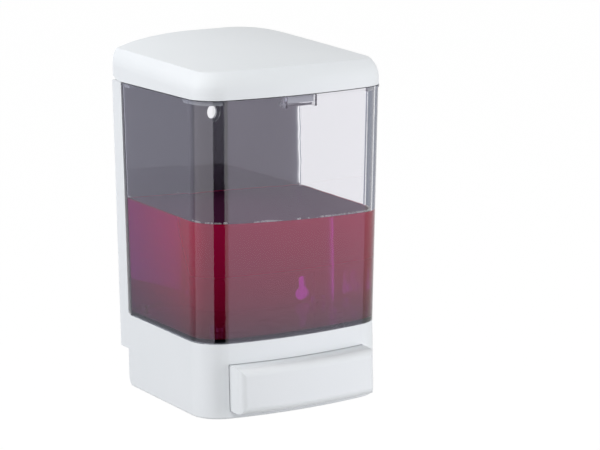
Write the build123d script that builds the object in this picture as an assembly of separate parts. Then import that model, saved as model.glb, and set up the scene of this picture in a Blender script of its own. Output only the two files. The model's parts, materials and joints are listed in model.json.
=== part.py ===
from build123d import *
import os
from math import cos, pi, sin, sqrt

# Wall mounted soap dispenser, millimetres.
# X runs to the viewer's right, Y into the wall, Z up.
# The origin is the middle of the wall face, on the crossing of the two ribs behind the back panel.

# Body outline in plan: straight sides, rounded front corners and a bowed front
BODY_WIDTH = 120.0
BODY_DEPTH = 116.6
CORNER_RADIUS = 19.4
BOW_RADIUS = 236.0

# Heights
ORIGIN_HEIGHT = 105.0
BASE_HEIGHT = 44.6
TANK_HEIGHT = 142.0
STEP_HEIGHT = 23.0
LID_SEAM = 0.4

# Walls
SHELL = 2.4
TANK_WALL = 2.2
TANK_FLOOR = 3.0

# Clearances
SEAT_GAP = 0.3
SLIDE_GAP = 0.4
RUNNING_GAP = 0.05
THREAD_GAP = 0.05

# Housing: tray behind the back panel and the base under the deck
TRAY_DEPTH = 9.5
TRAY_TOP_WIDTH = 120.6
BASE_REAR_ROUND = 5.0
INSIDE_CORNER_ROUND = 2.6
BASE_EDGE_ROUND = 1.2

# Tank: flares forwards and a little sideways to its rim
TANK_TOP_WIDTH = 122.6
TANK_TOP_DEPTH = 124.9
TANK_REAR_RADIUS = 4.0
LIP_REACH = 0.5
LIP_HEIGHT = 1.2
SPIGOT_RADIUS = 6.0
SPIGOT_BORE = 4.2
SPIGOT_END_GAP = 1.5

# Keyholes in the back panel
KEYHOLE_ENTRY_RADIUS = 4.2
KEYHOLE_SLOT_RADIUS = 2.0
KEYHOLE_LENGTH = 9.2
KEYHOLE_TOP_DROP = 23.6
KEYHOLE_LOW_RISE = 8.0
KEYHOLE_SPACING = 85.0
POCKET_MARGIN = 3.0
POCKET_DEPTH = 2.4

# Lid: arched across, falling from the wall to the front
LID_SIDE_LAP = 0.2
LID_FRONT_LAP = 0.3
LID_REAR_GAP = 3.0
LID_REAR_CORNER = 1.2
LID_RISE_REAR = 28.2
LID_RISE_FRONT = 15.7
LID_ARCH_REAR = 158.0
LID_ARCH_FRONT = 1300.0
LID_EDGE_ROUND = 14.6
LID_CREASE_DEPTH = 2.5
LID_RIB_DROP = 2.8
LID_RIB_THICKNESS = 2.0
LID_RIB_GAP = 1.0
LID_RIB_FRONT_LENGTH = 14.3
LID_RIB_SIDE_LENGTH = 33.0
LID_RIB_REAR_LENGTH = 7.0

# Lid hinge
HINGE_SETBACK = 12.8
HINGE_RISE = 15.0
HINGE_SPACING = 76.0
HINGE_EYE_RADIUS = 4.0
HINGE_PIN_RADIUS = 1.5
LUG_THICKNESS = 6.0
EAR_THICKNESS = 3.0

# Catch at the front rim: loop on the tank, tongue on the lid
TONGUE_WIDTH = 17.2
TONGUE_THICKNESS = 2.0
TONGUE_DROP = 4.4
TONGUE_FRONT_GAP = 1.4
LOOP_LEG = 1.2
LOOP_BAR_HEIGHT = 3.6
LOOP_HEIGHT = 7.0

# Push bar in the window of the base
BAR_WIDTH = 88.9
BAR_BOTTOM = 5.0
BAR_HEIGHT = 27.0
BAR_PROUD = 13.9
BAR_REACH_IN = 8.0
BAR_WALL = 2.2
BAR_EDGE_ROUND = 4.5
BAR_TRAVEL = 10.0
TAB_REACH = 3.0
TAB_THICKNESS = 3.6
TAB_HEIGHT = 20.0

# Guide blades of the bar and their shoulder screws
BLADE_SPACING = 60.0
BLADE_WIDTH = 12.0
BLADE_THICKNESS = 3.0
BLADE_TAIL = 8.0
BLADE_ROOT = 6.6
GUIDE_SCREW_SETBACK = 32.6
SHOULDER_RADIUS = 2.0
GUIDE_HEAD_RADIUS = 3.8
GUIDE_HEAD_HEIGHT = 2.2
GUIDE_HEAD_ROUND = 0.9
WASHER_RADIUS = 5.0
WASHER_THICKNESS = 0.8

# Small screws
SCREW_RADIUS = 1.4
SCREW_HEAD_RADIUS = 2.9
SCREW_HEAD_HEIGHT = 2.0
SCREW_HEAD_ROUND = 0.9
SCREW_RECESS_LENGTH = 2.9
SCREW_RECESS_WIDTH = 0.7
SCREW_RECESS_DEPTH = 1.0
SCREW_BITE = 6.0
BOSS_RADIUS = 4.0
BOSS_CAP = 2.0
TANK_SCREW_FRONT_OUTSET = 7.5
TANK_SCREW_FRONT_SETBACK = 28.6
TANK_SCREW_REAR_SPACING = 92.0
TANK_SCREW_REAR_STANDOFF = 25.0
PUMP_SCREW_SPACING = 34.0

# Pump under the deck, lying front to back
PUMP_HEIGHT = 21.0
PUMP_BORE = 8.0
PUMP_WALL = 2.2
PUMP_SETBACK = 24.6
PUMP_BORE_LENGTH = 36.0
PORT_SETBACK = 30.5
SOCKET_WALL = 1.7
SEAL_WALL = 1.7
SEAT_HEIGHT = 33.0
SEAT_THICKNESS = 1.5
VALVE_CHAMBER = 5.4
FLANGE_THICKNESS = 2.4
FLANGE_DROP = 8.0
PUMP_EAR_RADIUS = 5.0
OUTLET_PORT = 3.0
OUTLET_FLOOR = 2.5

# Nozzle and valves
NOZZLE_RADIUS = 6.0
NOZZLE_WALL = 1.2
NOZZLE_PLUG = 6.0
NOZZLE_TIP_HEIGHT = 1.0
DUCKBILL_RADIUS = 3.0
DUCKBILL_FLANGE = 1.4
DUCKBILL_LENGTH = 5.5
DUCKBILL_LIP = 0.9
DUCKBILL_BORE = 1.8
DUCKBILL_BORE_DEPTH = 1.9
UMBRELLA_RADIUS = 4.6
UMBRELLA_THICKNESS = 0.8
STEM_RADIUS = 1.0
STEM_KNOB_RADIUS = 1.5
STEM_KNOB_HEIGHT = 1.4
INLET_HOLE_RADIUS = 1.0
INLET_HOLE_CIRCLE = 3.0
INLET_HOLES = 6

# Rod, piston and spring
ROD_RADIUS = 3.0
PISTON_REST = 14.0
PISTON_LENGTH = 8.0
PISTON_GAP = 0.4
RING_RADIUS = 1.2
PISTON_DISC_THICKNESS = 2.4
GUIDE_PLUG_LENGTH = 4.0
GUIDE_FLANGE_LENGTH = 3.0
GUIDE_FLANGE_REACH = 3.0
ROD_BOSS_WALL = 3.0
ROD_BOSS_LENGTH = 9.0
ROD_PIN_RADIUS = 1.0
SPRING_RADIUS = 8.0
SPRING_WIRE = 0.6
SPRING_TURNS = 7

# Levels and places that follow from the sizes
BASE_Z = -ORIGIN_HEIGHT
DECK_TOP = BASE_Z + BASE_HEIGHT
DECK_UNDER = DECK_TOP - SHELL
STEP_Z = BASE_Z + STEP_HEIGHT
RIM_Z = DECK_TOP + TANK_HEIGHT
LID_Z = RIM_Z + LID_SEAM
LID_WIDTH = TANK_TOP_WIDTH + LID_SIDE_LAP * 2
LID_DEPTH = TANK_TOP_DEPTH + LID_FRONT_LAP
LID_CROWN_REAR = LID_Z + LID_RISE_REAR
LID_CROWN_FRONT = LID_Z + LID_RISE_FRONT
KEYHOLE_TOP_Z = RIM_Z - KEYHOLE_TOP_DROP
KEYHOLE_LOW_Z = DECK_TOP + KEYHOLE_LOW_RISE
HALF_WIDTH = BODY_WIDTH / 2
RIM_HALF_WIDTH = TANK_TOP_WIDTH / 2
PANEL_REAR = -TRAY_DEPTH
PANEL_FRONT = PANEL_REAR - SHELL
TANK_REAR = PANEL_FRONT - SEAT_GAP
TANK_INNER_REAR = TANK_REAR - TANK_WALL
HINGE_Y = -HINGE_SETBACK
HINGE_Z = LID_Z + HINGE_RISE
WINDOW_HALF = BAR_WIDTH / 2 + SLIDE_GAP
BAR_LOW = BASE_Z + BAR_BOTTOM
BAR_TOP = BAR_LOW + BAR_HEIGHT
BAR_FRONT_DEPTH = BODY_DEPTH + BAR_PROUD
PUMP_Z = BASE_Z + PUMP_HEIGHT
FRONT_Y = -BODY_DEPTH
PUMP_MOUTH = FRONT_Y + PUMP_SETBACK
PUMP_END = PUMP_MOUTH + PUMP_BORE_LENGTH
PORT_Y = PUMP_MOUTH + PORT_SETBACK
PISTON_REAR = PUMP_MOUTH + PISTON_REST
GUIDE_SCREW_Y = FRONT_Y + GUIDE_SCREW_SETBACK
TANK_SCREW_FRONT_SPACING = BLADE_SPACING + TANK_SCREW_FRONT_OUTSET * 2
TANK_SCREW_FRONT_Y = FRONT_Y + TANK_SCREW_FRONT_SETBACK
TANK_SCREW_REAR_Y = -TANK_SCREW_REAR_STANDOFF
PUMP_RADIUS = PUMP_BORE + PUMP_WALL
SEAT_Z = BASE_Z + SEAT_HEIGHT
SOCKET_RADIUS = SPIGOT_RADIUS + SEAL_WALL + RUNNING_GAP
SOCKET_FLOOR = SEAT_Z + SEAT_THICKNESS
SPIGOT_END = SOCKET_FLOOR + SPIGOT_END_GAP
OUTLET_Z = PUMP_Z - PUMP_BORE - OUTLET_FLOOR
NOZZLE_TOP = OUTLET_Z - SEAT_GAP
BLADE_TOP = BAR_TOP - BAR_WALL / 2
BLADE_UNDER = BLADE_TOP - BLADE_THICKNESS
GUIDE_BOSS_END = BLADE_TOP + SEAT_GAP
WASHER_TOP = BLADE_UNDER - SEAT_GAP
SCREW_HOLE = SCREW_RADIUS + THREAD_GAP
FAR = 400.0
PAST = 1.0
LID_OVERRUN = 30.0


def block(x_low, x_high, y_low, y_high, z_low, z_high):
    """Rectangular block between two corners."""
    centre = Pos((x_low + x_high) / 2, (y_low + y_high) / 2, (z_low + z_high) / 2)
    return centre * Box(x_high - x_low, y_high - y_low, z_high - z_low)


def post(x, y, radius, z_low, z_high):
    """Upright round bar."""
    return Pos(x, y, (z_low + z_high) / 2) * Cylinder(radius, z_high - z_low)


def bar_along_y(x, z, radius, y_low, y_high):
    """Round bar lying front to back."""
    return Pos(x, (y_low + y_high) / 2, z) * Rot(90, 0, 0) * Cylinder(radius, y_high - y_low)


def bar_along_x(y, z, radius, x_low, x_high):
    """Round bar lying left to right."""
    return Pos((x_low + x_high) / 2, y, z) * Rot(0, 90, 0) * Cylinder(radius, x_high - x_low)


def both_sides(spacing):
    """The two mirrored places of a pair."""
    return (-spacing / 2, spacing / 2)


def plan_outline(half_width, depth, corner_radius, bow_radius, rear, rear_radius=0.0):
    """Plan face of the body: straight sides, tangent corner arcs and a bowed front."""
    corner_x = half_width - corner_radius
    bow_y = bow_radius - depth
    corner_y = bow_y - sqrt((bow_radius - corner_radius) ** 2 - corner_x**2)
    reach = bow_radius / (bow_radius - corner_radius)
    blend = Vector(corner_x * reach, bow_y + (corner_y - bow_y) * reach)
    outward = (Vector(1, 0) + (blend - Vector(corner_x, corner_y)).normalized()).normalized()
    middle = Vector(corner_x, corner_y) + outward * corner_radius
    right = [
        Line((half_width, rear), (half_width, corner_y)),
        ThreePointArc((half_width, corner_y), middle, blend),
    ]
    left = [edge.mirror(Plane.YZ) for edge in right]
    front = ThreePointArc(blend, (0, -depth), (-blend.X, blend.Y))
    back = Line((-half_width, rear), (half_width, rear))
    face = make_face(Curve() + right + [front] + left + [back])
    if rear_radius > 0:
        face = fillet(face.vertices().group_by(Axis.Y)[-1], rear_radius)
    return face


def body_outline(inset, rear, rear_radius=0.0):
    """Plan of the base, moved inwards by a wall."""
    return plan_outline(
        HALF_WIDTH - inset,
        BODY_DEPTH - inset,
        CORNER_RADIUS - inset,
        BOW_RADIUS - inset,
        rear,
        rear_radius,
    )


def rim_outline(inset, rear, rear_radius=0.0):
    """Plan of the tank's rim, moved inwards by a wall."""
    return plan_outline(
        RIM_HALF_WIDTH - inset,
        TANK_TOP_DEPTH - inset,
        CORNER_RADIUS - inset,
        BOW_RADIUS - inset,
        rear,
        rear_radius,
    )


def prism(face, z_low, z_high):
    """Plan face raised between two levels."""
    return extrude(Pos(0, 0, z_low) * face, z_high - z_low)


def corner_fill(y, z, radius, overrun, half):
    """Hollow rounding in the corner between an upright face at y and a level face at z."""
    corner = block(-half, half, y - radius, y + overrun, z - overrun, z + radius)
    return corner - bar_along_x(y - radius, z + radius, radius, -half - PAST, half + PAST)


def keyhole(x, low, entry_radius, slot_radius, y_low, y_high):
    """Keyhole prism through the panel: round entry below, slot for the screw's neck above."""
    entry = bar_along_y(x, low, entry_radius, y_low, y_high)
    slot = block(x - slot_radius, x + slot_radius, y_low, y_high, low, low + KEYHOLE_LENGTH)
    return entry + slot + bar_along_y(x, low + KEYHOLE_LENGTH, slot_radius, y_low, y_high)


def keyhole_places():
    """One keyhole on the centre line near the top, two below it."""
    low = [(x, KEYHOLE_LOW_Z) for x in both_sides(KEYHOLE_SPACING)]
    return [(0.0, KEYHOLE_TOP_Z)] + low


def tank_screw_places():
    """Screws through the deck into the tank's floor."""
    front = [(x, TANK_SCREW_FRONT_Y) for x in both_sides(TANK_SCREW_FRONT_SPACING)]
    rear = [(x, TANK_SCREW_REAR_Y) for x in both_sides(TANK_SCREW_REAR_SPACING)]
    return front + rear


def pump_screw_places():
    """Screws through the pump's flange into bosses under the deck."""
    return [(x, PORT_Y) for x in both_sides(PUMP_SCREW_SPACING)]


def guide_screw_places():
    """Shoulder screws in the slots of the guide blades."""
    return [(x, GUIDE_SCREW_Y) for x in both_sides(BLADE_SPACING)]


def screw(x, y, head_z, shank_length):
    """Small pan head screw driven upwards, its head's upper face at head_z."""
    head = post(x, y, SCREW_HEAD_RADIUS, head_z - SCREW_HEAD_HEIGHT, head_z)
    head = fillet(head.edges().group_by(Axis.Z)[0], SCREW_HEAD_ROUND)
    recess = block(
        x - SCREW_RECESS_LENGTH / 2,
        x + SCREW_RECESS_LENGTH / 2,
        y - SCREW_RECESS_WIDTH / 2,
        y + SCREW_RECESS_WIDTH / 2,
        head_z - SCREW_HEAD_HEIGHT,
        head_z - SCREW_HEAD_HEIGHT + SCREW_RECESS_DEPTH,
    )
    cross = recess + Pos(x, y, 0) * Rot(0, 0, 90) * Pos(-x, -y, 0) * recess
    return head - cross + post(x, y, SCREW_RADIUS, head_z, head_z + shank_length)


def tray_profile(inset, low_inset):
    """Back view of the tray behind the panel: straight by the base, widening above the deck."""
    rim_half = TRAY_TOP_WIDTH / 2 - inset
    half = HALF_WIDTH - inset
    points = [
        (-half, STEP_Z + low_inset),
        (half, STEP_Z + low_inset),
        (half, DECK_TOP),
        (rim_half, RIM_Z - low_inset),
        (-rim_half, RIM_Z - low_inset),
        (-half, DECK_TOP),
    ]
    return Plane.XZ * make_face(Polyline(points, close=True))


def make_housing():
    """White moulding: back panel with its rim, base shell, deck, bosses, keyholes and hinge lugs."""
    base = prism(body_outline(0, PANEL_REAR), BASE_Z, DECK_TOP)
    rear_edges = base.edges().filter_by(Axis.X).group_by(Axis.Y)[-1]
    base = fillet(rear_edges.group_by(Axis.Z)[0], BASE_REAR_ROUND)
    bottom = base.faces().sort_by(Axis.Z)[0]
    base = fillet(bottom.edges().group_by(Axis.Y)[0:-1], BASE_EDGE_ROUND)
    hollow = prism(body_outline(SHELL, PANEL_FRONT), BASE_Z - PAST, DECK_UNDER)
    tray = extrude(tray_profile(0, 0), -PANEL_FRONT)
    tray_hollow = extrude(tray_profile(SHELL, SHELL), TRAY_DEPTH)
    window = block(
        -WINDOW_HALF,
        WINDOW_HALF,
        FRONT_Y - PAST,
        FRONT_Y + CORNER_RADIUS,
        BAR_LOW - SLIDE_GAP,
        BAR_TOP + SLIDE_GAP,
    )
    shell = base - hollow + (tray - tray_hollow) - window
    shell += corner_fill(PANEL_FRONT, DECK_TOP, INSIDE_CORNER_ROUND, 0, HALF_WIDTH)
    across = block(-HALF_WIDTH + SHELL / 2, HALF_WIDTH - SHELL / 2, PANEL_REAR, 0, -SHELL / 2, SHELL / 2)
    top_pocket = KEYHOLE_TOP_Z - KEYHOLE_ENTRY_RADIUS - POCKET_MARGIN
    upright = block(-SHELL / 2, SHELL / 2, PANEL_REAR, 0, STEP_Z + SHELL / 2, top_pocket + SHELL / 2)
    shell = shell + across + upright
    pocket_floor = PANEL_FRONT + POCKET_DEPTH
    for x, z in keyhole_places():
        wide = KEYHOLE_ENTRY_RADIUS + POCKET_MARGIN
        shell += keyhole(x, z, wide, wide, PANEL_REAR - SHELL / 2, pocket_floor + SHELL)
    for x, z in keyhole_places():
        wide = KEYHOLE_ENTRY_RADIUS + POCKET_MARGIN - SHELL / 2
        shell -= keyhole(x, z, wide, wide, PANEL_FRONT - SHELL, pocket_floor)
        shell -= keyhole(x, z, KEYHOLE_ENTRY_RADIUS, KEYHOLE_SLOT_RADIUS, PANEL_FRONT, PAST)
    for x, y in guide_screw_places() + pump_screw_places():
        end = GUIDE_BOSS_END if y == GUIDE_SCREW_Y else DECK_UNDER - FLANGE_DROP
        shell += post(x, y, BOSS_RADIUS, end, DECK_UNDER + SHELL / 2)
        shell -= post(x, y, SCREW_HOLE, end - PAST, DECK_UNDER)
    for x, y in tank_screw_places():
        shell -= post(x, y, SCREW_HOLE, DECK_UNDER - PAST, DECK_TOP + PAST)
    shell -= post(0, PORT_Y, SPIGOT_RADIUS + SLIDE_GAP, DECK_UNDER - PAST, DECK_TOP + PAST)
    for x in both_sides(HINGE_SPACING):
        shell += hinge_lug(x)
    return shell


def hinge_lug(x):
    """Upright lug with the pin's hole, standing on the top of the rim."""
    foot_front = PANEL_FRONT + SEAT_GAP
    foot_rear = HINGE_Y + HINGE_EYE_RADIUS
    foot_z = RIM_Z - SHELL / 2
    points = [
        (foot_front, foot_z),
        (foot_rear, foot_z),
        (HINGE_Y + HINGE_EYE_RADIUS, HINGE_Z),
        (HINGE_Y - HINGE_EYE_RADIUS, HINGE_Z),
        (foot_front, RIM_Z + SHELL),
    ]
    web = extrude(Plane.YZ * make_face(Polyline(points, close=True)), LUG_THICKNESS / 2, both=True)
    half = LUG_THICKNESS / 2
    eye = bar_along_x(HINGE_Y, HINGE_Z, HINGE_EYE_RADIUS, -half, half)
    hole = bar_along_x(HINGE_Y, HINGE_Z, HINGE_PIN_RADIUS + THREAD_GAP, -LUG_THICKNESS, LUG_THICKNESS)
    return Pos(x, 0, 0) * (web + eye - hole)


def make_tank():
    """Clear container: flared walls, floor with outlet spigot and screw bosses, rim lip, catch loop."""
    inner_radius = TANK_REAR_RADIUS - TANK_WALL
    outside = loft(
        [
            Pos(0, 0, DECK_TOP) * body_outline(0, TANK_REAR, TANK_REAR_RADIUS),
            Pos(0, 0, RIM_Z) * rim_outline(0, TANK_REAR, TANK_REAR_RADIUS),
        ],
        ruled=True,
    )
    outside -= corner_fill(TANK_REAR, DECK_TOP, INSIDE_CORNER_ROUND + SLIDE_GAP, PAST, BODY_WIDTH)
    lip = prism(rim_outline(-LIP_REACH, TANK_REAR, TANK_REAR_RADIUS), RIM_Z - LIP_HEIGHT, RIM_Z)
    inside = loft(
        [
            Pos(0, 0, DECK_TOP) * body_outline(TANK_WALL, TANK_INNER_REAR, inner_radius),
            Pos(0, 0, RIM_Z) * rim_outline(TANK_WALL, TANK_INNER_REAR, inner_radius),
        ],
        ruled=True,
    )
    inside -= block(-FAR, FAR, -FAR, FAR, DECK_TOP - PAST, DECK_TOP + TANK_FLOOR)
    tank = outside + lip - inside
    spigot = post(0, PORT_Y, SPIGOT_RADIUS, SPIGOT_END, DECK_TOP + TANK_FLOOR / 2)
    tank = tank + spigot - post(0, PORT_Y, SPIGOT_BORE, SPIGOT_END - PAST, DECK_TOP + TANK_FLOOR + PAST)
    boss_top = DECK_TOP + SCREW_BITE + BOSS_CAP
    for x, y in tank_screw_places():
        tank += post(x, y, BOSS_RADIUS, DECK_TOP + TANK_FLOOR / 2, boss_top)
        tank -= post(x, y, SCREW_HOLE, DECK_TOP - PAST, DECK_TOP + SCREW_BITE + THREAD_GAP)
    return tank + catch_loop()


def catch_places():
    """Front and rear faces of the tongue, and the inner face of the front wall at the rim."""
    wall = -TANK_TOP_DEPTH + TANK_WALL
    tongue_front = wall + TONGUE_FRONT_GAP
    return wall, tongue_front, tongue_front + TONGUE_THICKNESS


def catch_loop():
    """Loop inside the front rim that the lid's tongue drops into."""
    wall, tongue_front, tongue_rear = catch_places()
    half = TONGUE_WIDTH / 2 + SLIDE_GAP
    bar_front = tongue_rear + SLIDE_GAP
    low = RIM_Z - LOOP_HEIGHT
    outer = half + LOOP_LEG
    round_bar = LOOP_BAR_HEIGHT / 2
    loop = bar_along_x(bar_front + round_bar, low + round_bar, round_bar, -outer, outer)
    root = wall - TANK_WALL / 4
    for x_low, x_high in ((-outer, -half), (half, outer)):
        loop += block(x_low, x_high, root, bar_front + LOOP_LEG, low, RIM_Z - LIP_HEIGHT / 2)
    return loop


def lid_section(crown, arch_radius, inset):
    """Back view of the lid's crowned block at one end."""
    half = LID_WIDTH / 2 + SHELL
    top = crown - inset
    edge = top - (arch_radius - sqrt(arch_radius**2 - half**2))
    low = LID_Z - SHELL
    outline = [
        Line((-half, low), (half, low)),
        Line((half, low), (half, edge)),
        ThreePointArc((half, edge), (0, top), (-half, edge)),
        Line((-half, edge), (-half, low)),
    ]
    return make_face(Curve() + outline)


def lid_crown(rear_crown, lift, inset):
    """Crowned block from behind the wall face to the front, raised by a height."""
    ends = [
        Plane.XZ.offset(-LID_OVERRUN) * lid_section(rear_crown + lift, LID_ARCH_REAR, inset),
        Plane.XZ.offset(LID_DEPTH) * lid_section(LID_CROWN_FRONT + lift, LID_ARCH_FRONT, inset),
    ]
    return loft(ends, ruled=True)


def lid_form(inset, low):
    """Closed form of the lid, moved inwards by a wall: round shoulders that the crown cuts off at a crease."""
    fall = (LID_CROWN_REAR - LID_CROWN_FRONT) / LID_DEPTH
    rear_crown = LID_CROWN_REAR + fall * LID_OVERRUN
    half = LID_WIDTH / 2 - inset
    depth = LID_DEPTH - inset
    corner = CORNER_RADIUS - inset
    bow = BOW_RADIUS - inset
    outline = plan_outline(half, depth, corner, bow, LID_OVERRUN / 2)
    walls = prism(outline, low, rear_crown + LID_CREASE_DEPTH)
    form = walls & lid_crown(rear_crown, LID_CREASE_DEPTH, inset)
    top = form.faces().sort_by(Axis.Z)[-1]
    rim = [edge for edge in top.edges() if edge.center().Y < LID_OVERRUN / 2 - PAST]
    form = fillet(rim, LID_EDGE_ROUND - inset) & lid_crown(rear_crown, 0, inset)
    rear = -LID_REAR_GAP - inset
    back = make_face(
        Polyline(
            [(-FAR, low), (rear, low), (rear, BASE_Z + FAR), (-FAR, BASE_Z + FAR)],
            close=True,
        )
    )
    form = form & extrude(Plane.YZ * back, FAR, both=True)
    plan = plan_outline(half, depth, corner, bow, rear, LID_REAR_CORNER - inset)
    return form & prism(plan, low, BASE_Z + FAR)


def make_lid():
    """White crowned cover with corner ribs, catch tongue and hinge ears."""
    outside = lid_form(0, LID_Z)
    crown_at_hinge = LID_CROWN_REAR - (LID_CROWN_REAR - LID_CROWN_FRONT) * HINGE_SETBACK / LID_DEPTH
    sweep_radius = HINGE_SETBACK - LID_REAR_GAP + SHELL / 4
    sweep_radius = max(sweep_radius, crown_at_hinge - HINGE_Z)
    behind = block(-FAR, FAR, HINGE_Y, FAR, HINGE_Z, HINGE_Z + FAR)
    outside -= behind - bar_along_x(HINGE_Y, HINGE_Z, sweep_radius, -FAR, FAR)
    under = block(-FAR, FAR, HINGE_Y, FAR, LID_Z - FAR, HINGE_Z)
    outside -= under - bar_along_x(HINGE_Y, HINGE_Z, HINGE_Z - LID_Z, -FAR, FAR)
    hollow = lid_form(SHELL, LID_Z - SHELL)
    hollow -= behind - bar_along_x(HINGE_Y, HINGE_Z, sweep_radius - SHELL, -FAR, FAR)
    lid = outside - hollow
    lid += corner_ribs(outside)
    wall, tongue_front, tongue_rear = catch_places()
    half = TONGUE_WIDTH / 2
    lid += block(-half, half, tongue_front, tongue_rear, RIM_Z - TONGUE_DROP, LID_Z + SHELL * 2)
    lid += block(-half, half, wall - SHELL / 4, tongue_rear, LID_Z + SHELL, LID_Z + SHELL * 2)
    ears = None
    for x in both_sides(HINGE_SPACING):
        gap = LUG_THICKNESS / 2 + SLIDE_GAP
        for x_low in (x - gap - EAR_THICKNESS, x + gap):
            eye = bar_along_x(HINGE_Y, HINGE_Z, HINGE_EYE_RADIUS, x_low, x_low + EAR_THICKNESS)
            hanger = block(
                x_low,
                x_low + EAR_THICKNESS,
                HINGE_Y - HINGE_EYE_RADIUS,
                HINGE_Y + HINGE_EYE_RADIUS,
                HINGE_Z,
                HINGE_Z + FAR,
            )
            ear = eye + hanger
            ears = ear if ears is None else ears + ear
    lid += ears & outside
    pin_hole = HINGE_PIN_RADIUS + RUNNING_GAP
    for x in both_sides(HINGE_SPACING):
        reach = LUG_THICKNESS / 2 + SLIDE_GAP + EAR_THICKNESS
        lid -= bar_along_x(HINGE_Y, HINGE_Z, pin_hole, x - reach - PAST, x + reach + PAST)
        notch = LUG_THICKNESS / 2 + SLIDE_GAP
        lid -= block(x - notch, x + notch, HINGE_Y, PAST, LID_Z - PAST, HINGE_Z + HINGE_EYE_RADIUS)
    return lid


def corner_ribs(outside):
    """Ribs at the four inside corners that locate the lid in the tank's rim."""
    face_inset = TANK_WALL + LID_RIB_GAP
    rear = TANK_INNER_REAR - LID_RIB_GAP
    inner = rim_outline(face_inset + LID_RIB_THICKNESS, rear - LID_RIB_THICKNESS)
    hang = prism(rim_outline(face_inset, rear), RIM_Z - LID_RIB_DROP, LID_Z + SHELL)
    hang -= prism(inner, RIM_Z - LID_RIB_DROP - PAST, LID_Z + SHELL + PAST)
    ledge = outside & block(-FAR, FAR, -FAR, FAR, LID_Z + SEAT_GAP, LID_Z + SHELL)
    ledge -= prism(inner, LID_Z, LID_Z + SHELL + PAST)
    front_y = -TANK_TOP_DEPTH + LID_RIB_SIDE_LENGTH
    front_x = RIM_HALF_WIDTH - LID_RIB_FRONT_LENGTH
    zones = None
    for side in (-1, 1):
        for x_inner, y_low, y_high in (
            (front_x, -FAR, front_y),
            (RIM_HALF_WIDTH - LID_RIB_REAR_LENGTH, rear - LID_RIB_REAR_LENGTH, rear),
        ):
            x_low, x_high = sorted((side * x_inner, side * FAR))
            zone = block(x_low, x_high, y_low, y_high, LID_Z - FAR, LID_Z + FAR)
            zones = zone if zones is None else zones + zone
    return (hang + ledge) & zones


def make_hinge_pins():
    """Two steel pins through lug and ears."""
    reach = LUG_THICKNESS / 2 + SLIDE_GAP + EAR_THICKNESS
    pins = []
    for x in both_sides(HINGE_SPACING):
        pins.append(bar_along_x(HINGE_Y, HINGE_Z, HINGE_PIN_RADIUS, x - reach, x + reach))
    return Compound(children=pins)


def bar_shape(inset, rear_y, low, high):
    """Bowed block of the push bar, moved inwards by a wall."""
    half = BAR_WIDTH / 2 - inset
    depth = BAR_FRONT_DEPTH - inset
    bow = BOW_RADIUS + BAR_PROUD - inset
    side_y = -depth + bow - sqrt(bow**2 - half**2)
    outline = [
        Line((-half, rear_y), (half, rear_y)),
        Line((half, rear_y), (half, side_y)),
        ThreePointArc((half, side_y), (0, -depth), (-half, side_y)),
        Line((-half, side_y), (-half, rear_y)),
    ]
    return prism(make_face(Curve() + outline), low, high)


def make_push_bar():
    """White bowed bar, hollow behind, with side tabs, guide blades and the rod's boss."""
    rear_y = FRONT_Y + BAR_REACH_IN + SHELL
    bar = bar_shape(0, rear_y, BAR_LOW, BAR_TOP)
    front_edges = bar.edges().filter_by(lambda edge: edge.center().Y < FRONT_Y)
    bar = fillet(front_edges, BAR_EDGE_ROUND)
    bar -= bar_shape(BAR_WALL, rear_y + PAST, BAR_LOW + BAR_WALL, BAR_TOP - BAR_WALL)
    inner = body_outline(SHELL + SEAT_GAP, PANEL_FRONT)
    middle = BAR_LOW + BAR_HEIGHT / 2
    tab_half = BAR_WIDTH / 2 + TAB_REACH
    tabs = prism(inner, middle - TAB_HEIGHT / 2, middle + TAB_HEIGHT / 2)
    corner_y = FRONT_Y + BOW_RADIUS - sqrt(BOW_RADIUS**2 - tab_half**2)
    tab_rear = corner_y + SHELL + SEAT_GAP + TAB_THICKNESS
    for side in (-1, 1):
        x_low, x_high = sorted((side * (BAR_WIDTH / 2 - BAR_WALL / 2), side * tab_half))
        bar += tabs & block(x_low, x_high, -FAR, tab_rear, BASE_Z, DECK_TOP)
    slot_radius = SHOULDER_RADIUS + SEAT_GAP
    slot_low = BLADE_UNDER - PAST
    slot_high = BLADE_TOP + PAST
    for x, y in guide_screw_places():
        blade = block(
            x - BLADE_WIDTH / 2,
            x + BLADE_WIDTH / 2,
            -BAR_FRONT_DEPTH + BLADE_ROOT,
            y + slot_radius + BLADE_TAIL,
            BLADE_UNDER,
            BLADE_TOP,
        )
        slot = post(x, y, slot_radius, slot_low, slot_high)
        slot += post(x, y - BAR_TRAVEL, slot_radius, slot_low, slot_high)
        slot += block(x - slot_radius, x + slot_radius, y - BAR_TRAVEL, y, slot_low, slot_high)
        bar += blade
        bar -= slot
    boss_front = -BAR_FRONT_DEPTH + BAR_WALL / 2
    boss_rear = -BAR_FRONT_DEPTH + BAR_WALL + ROD_BOSS_LENGTH
    bar += bar_along_y(0, PUMP_Z, ROD_RADIUS + ROD_BOSS_WALL, boss_front, boss_rear)
    bar -= bar_along_y(0, PUMP_Z, ROD_RADIUS + THREAD_GAP, -BAR_FRONT_DEPTH + BAR_WALL, boss_rear + PAST)
    reach = ROD_RADIUS + ROD_BOSS_WALL + PAST
    return bar - post(0, rod_pin_y(), ROD_PIN_RADIUS + THREAD_GAP, PUMP_Z - reach, PUMP_Z + reach)


def rod_pin_y():
    """Place of the cross pin, in the middle of the rod's boss."""
    return -BAR_FRONT_DEPTH + BAR_WALL + ROD_BOSS_LENGTH / 2


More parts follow.
